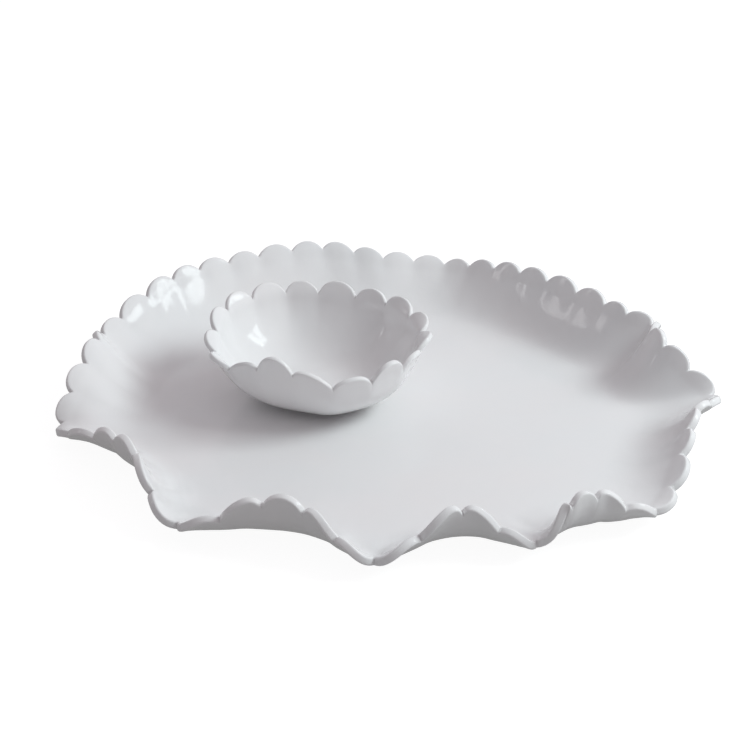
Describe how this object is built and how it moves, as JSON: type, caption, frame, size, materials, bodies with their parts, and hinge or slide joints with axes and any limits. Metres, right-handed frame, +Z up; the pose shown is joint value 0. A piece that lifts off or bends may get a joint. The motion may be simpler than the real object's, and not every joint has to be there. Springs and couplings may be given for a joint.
{
  "type": "chip and dip server",
  "caption": "Round serving platter with a ruffled wall and a petal-scalloped edge, and a loose petal-edged dip bowl standing on its floor.",
  "frame": {"origin": "on the table, under the middle of the set's bounding box", "axes": "+Z up; -Y towards the side that is seen from the front, with the dip bowl left of the middle (-X) and towards the back (+Y)"},
  "size_m": [0.429, 0.4072, 0.0625],
  "materials": {
    "platter_gloss_white": "glossy white moulded melamine with gently hand-formed waviness",
    "bowl_gloss_white": "glossy white moulded melamine with gently hand-formed waviness"
  },
  "bodies": {
    "platter": {"platter": "platter_gloss_white"},
    "dip_bowl": {"dip_bowl": "bowl_gloss_white"}
  },
  "joints": [
    {"name": "bowl_lift", "type": "slide", "parent": "platter", "child": "dip_bowl", "axis": [0, 0, 1], "range_m": [0, 0.1]}
  ]
}
